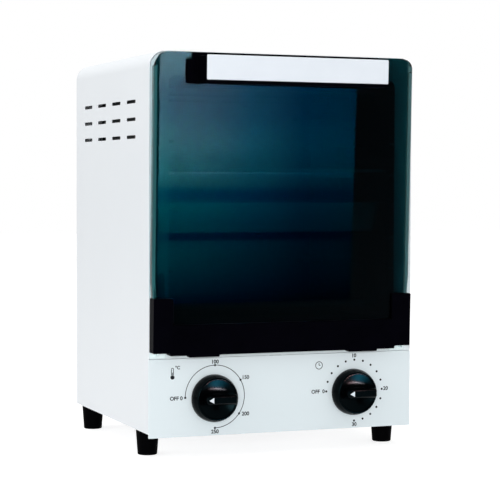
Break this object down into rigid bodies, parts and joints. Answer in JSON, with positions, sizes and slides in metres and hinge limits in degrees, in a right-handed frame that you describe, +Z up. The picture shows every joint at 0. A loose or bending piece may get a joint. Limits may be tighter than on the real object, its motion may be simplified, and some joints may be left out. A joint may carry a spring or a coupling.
{
  "type": "dry heat sterilizer",
  "caption": "Upright benchtop dry heat sterilizer with a drop-down tinted glass door, rotary dials, a ledged chamber, a wire rack and a deep tray.",
  "frame": {"origin": "on the bench, under the middle of the whole object's box", "axes": "+Z up, -Y out of the door, +X to the right as seen from the front"},
  "size_m": [0.25, 0.2757, 0.352],
  "materials": {
    "casing_enamel": "white enamel on sheet steel, half gloss",
    "base_sheet": "dull zinc-plated sheet",
    "chamber_sheet": "aluminised sheet, darkened by heat",
    "heater_sheath": "dull oxidised metal sheath",
    "rack_wire": "plated wire, bright",
    "tray_sheet": "drawn sheet, satin",
    "bright_steel": "plated steel",
    "tinted_glass": "dark blue-green tempered glass with bent side edges, polished",
    "black_plastic": "black moulded plastic, half gloss",
    "white_plastic": "white moulded plastic, half gloss",
    "knob_plastic": "black moulded plastic, gloss",
    "control_body": "pale moulded body, dull",
    "foot_rubber": "black rubber, dull"
  },
  "bodies": {
    "housing": {"outer_wrapper": "casing_enamel", "base_tray": "base_sheet", "rear_panel": "casing_enamel", "front_frame": "casing_enamel", "control_panel": "casing_enamel", "chamber_left": "chamber_sheet", "chamber_right": "chamber_sheet", "chamber_top": "chamber_sheet", "chamber_floor": "chamber_sheet", "chamber_back": "chamber_sheet", "heater_upper_front": "heater_sheath", "heater_upper_rear": "heater_sheath", "heater_lower_front": "heater_sheath", "heater_lower_rear": "heater_sheath", "temperature_sensor": "bright_steel", "hinge_bracket_left": "bright_steel", "hinge_pin_left": "bright_steel", "hinge_bracket_right": "bright_steel", "hinge_pin_right": "bright_steel", "thermostat": "control_body", "timer": "control_body", "foot_front_left": "foot_rubber", "foot_front_right": "foot_rubber", "foot_rear_left": "foot_rubber", "foot_rear_right": "foot_rubber", "foot_screw_front_left": "bright_steel", "foot_screw_front_right": "bright_steel", "foot_screw_rear_left": "bright_steel", "foot_screw_rear_right": "bright_steel", "cable_bush": "foot_rubber", "terminal_block": "control_body"},
    "door": {"door_glass": "tinted_glass", "door_rail": "black_plastic", "door_arm": "bright_steel", "handle_grip": "black_plastic", "handle_plate": "white_plastic", "clamp_strip": "black_plastic", "handle_screw_left": "bright_steel", "handle_screw_right": "bright_steel"},
    "temperature_dial": {"temperature_knob": "knob_plastic", "temperature_shaft": "bright_steel"},
    "timer_dial": {"timer_knob": "knob_plastic", "timer_shaft": "bright_steel"},
    "rack": {"wire_rack": "rack_wire"},
    "tray": {"bake_tray": "tray_sheet"}
  },
  "joints": [
    {"name": "door_hinge", "type": "hinge", "parent": "housing", "child": "door", "pos_m": [-0.0031, -0.10114, 0.0937], "axis": [1, 0, 0], "range_deg": [-1.7, 86.3]},
    {"name": "temperature_turn", "type": "hinge", "parent": "housing", "child": "temperature_dial", "pos_m": [-0.0659, -0.09594, 0.0519], "axis": [0, 1, 0], "range_deg": [0, 270]},
    {"name": "timer_turn", "type": "hinge", "parent": "housing", "child": "timer_dial", "pos_m": [0.0673, -0.09594, 0.0519], "axis": [0, 1, 0], "range_deg": [0, 270]},
    {"name": "rack_slide", "type": "slide", "parent": "housing", "child": "rack", "axis": [0, -1, 0], "range_m": [-0.004, 0.13]},
    {"name": "tray_slide", "type": "slide", "parent": "housing", "child": "tray", "axis": [0, -1, 0], "range_m": [-0.004, 0.12]}
  ],
  "couplings": [
    {"joint": "rack_slide", "follows": "door_hinge", "m_per_rad": 0.084},
    {"joint": "tray_slide", "follows": "door_hinge", "m_per_rad": 0.075}
  ]
}
